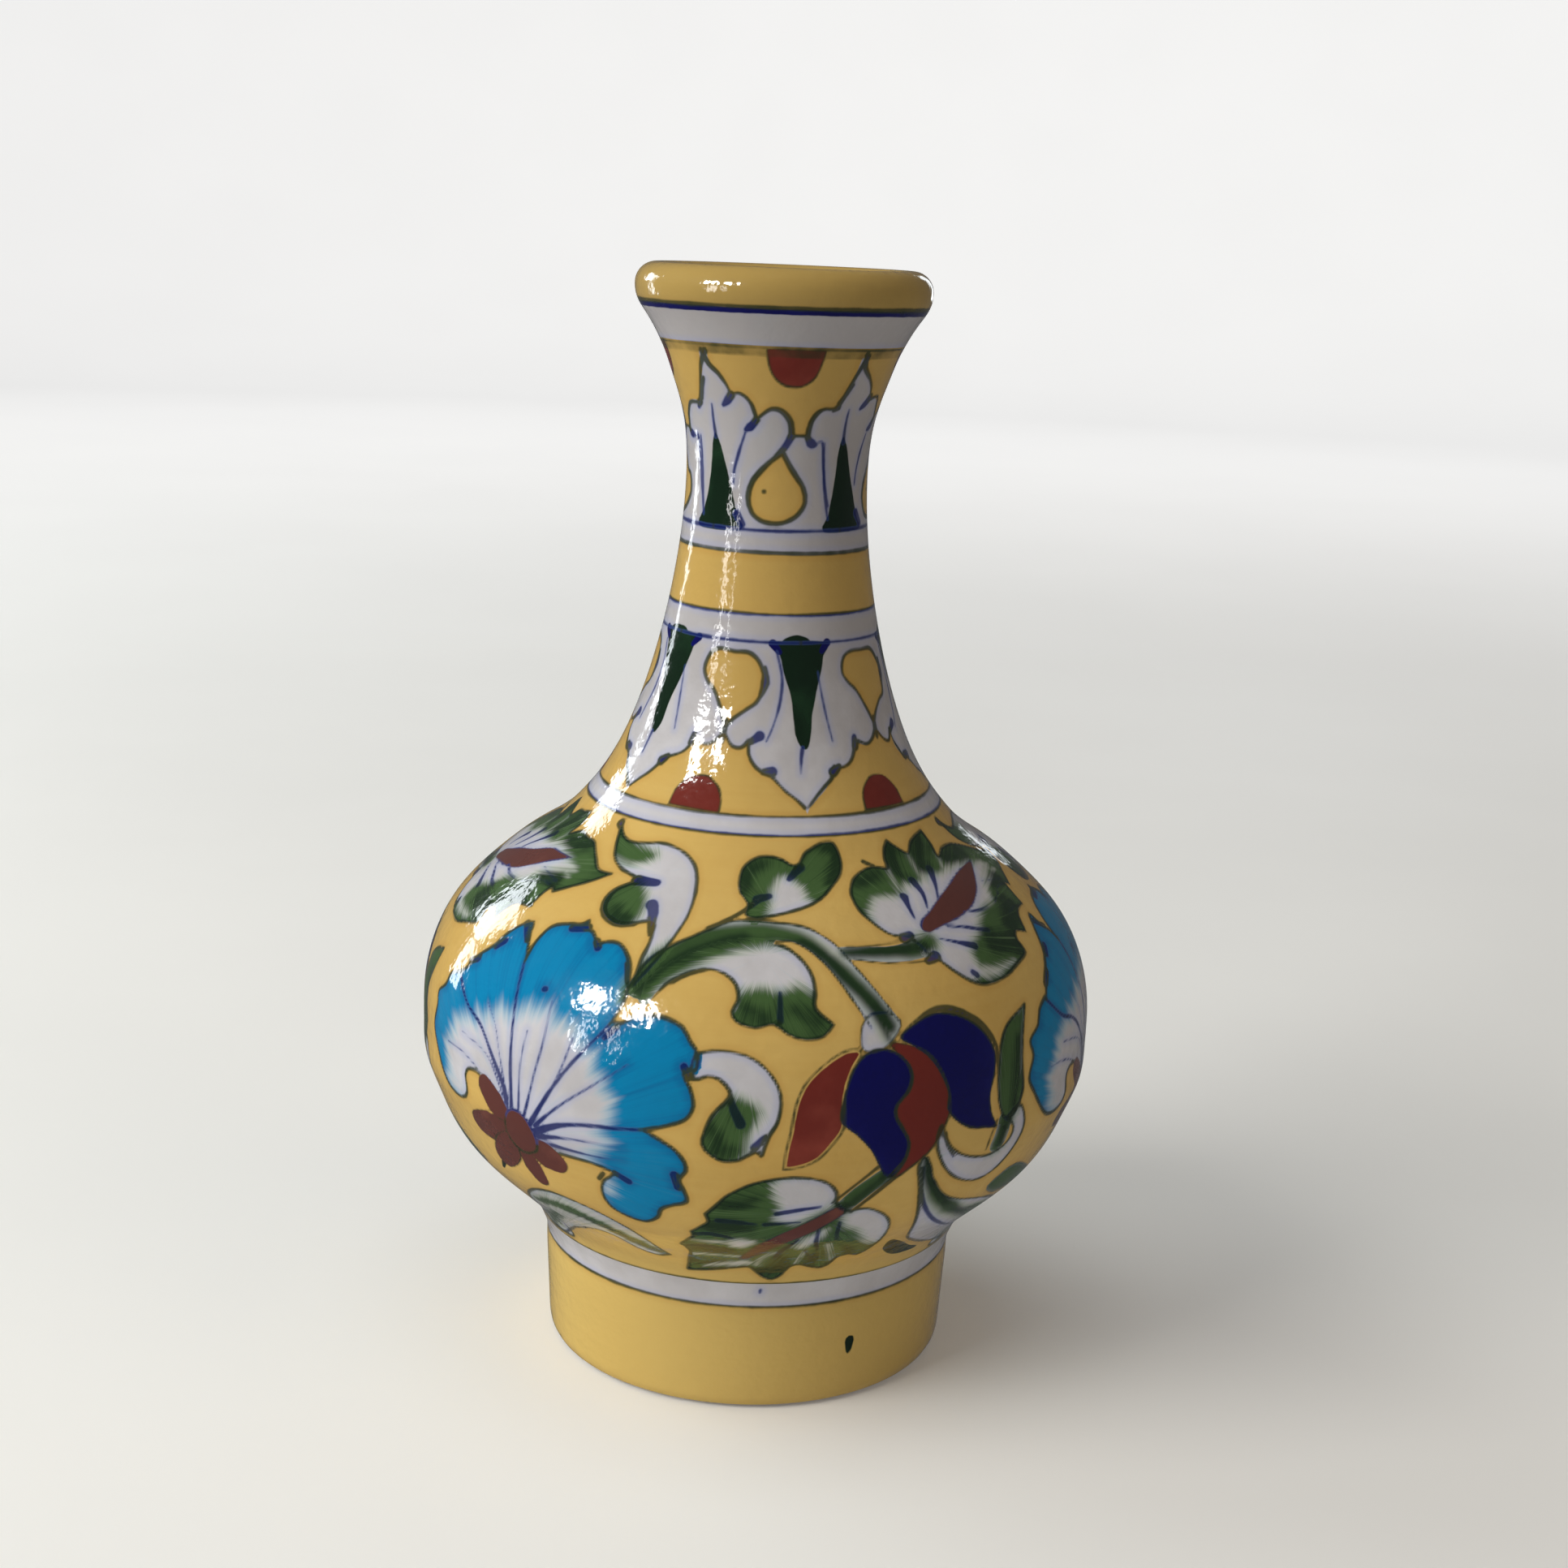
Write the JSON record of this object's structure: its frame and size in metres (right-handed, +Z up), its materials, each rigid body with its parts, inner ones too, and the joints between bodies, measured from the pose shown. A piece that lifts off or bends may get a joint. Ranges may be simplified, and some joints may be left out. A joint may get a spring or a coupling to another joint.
{
  "type": "painted pottery vase",
  "caption": "Glazed bottle vase with a low ring foot, a wide rounded belly, a tall waisted neck and a rolled flared mouth, painted with flowers and palmette friezes.",
  "frame": {"origin": "on the floor under the middle of the vase", "axes": "+Z up along the axis that the vase is round about; -Y faces the viewer"},
  "size_m": [0.124, 0.124, 0.2],
  "materials": {
    "dough": "matt, slightly grainy quartz body",
    "lute": "matt joining dough",
    "slip": "fine white engobe",
    "painted_glaze": "clear gloss over hand painting on a yellow ground",
    "inner_glaze": "poured, off-white, glossy"
  },
  "bodies": {
    "root": {"foot_ring": "dough", "lower_bowl": "dough", "upper_bowl": "dough", "neck": "dough", "mouth_rim": "dough", "foot_lute": "lute", "belly_lute": "lute", "shoulder_lute": "lute", "mouth_lute": "lute", "slip_coat": "slip", "glaze_coat": "painted_glaze", "inner_coat": "inner_glaze"}
  },
  "joints": []
}
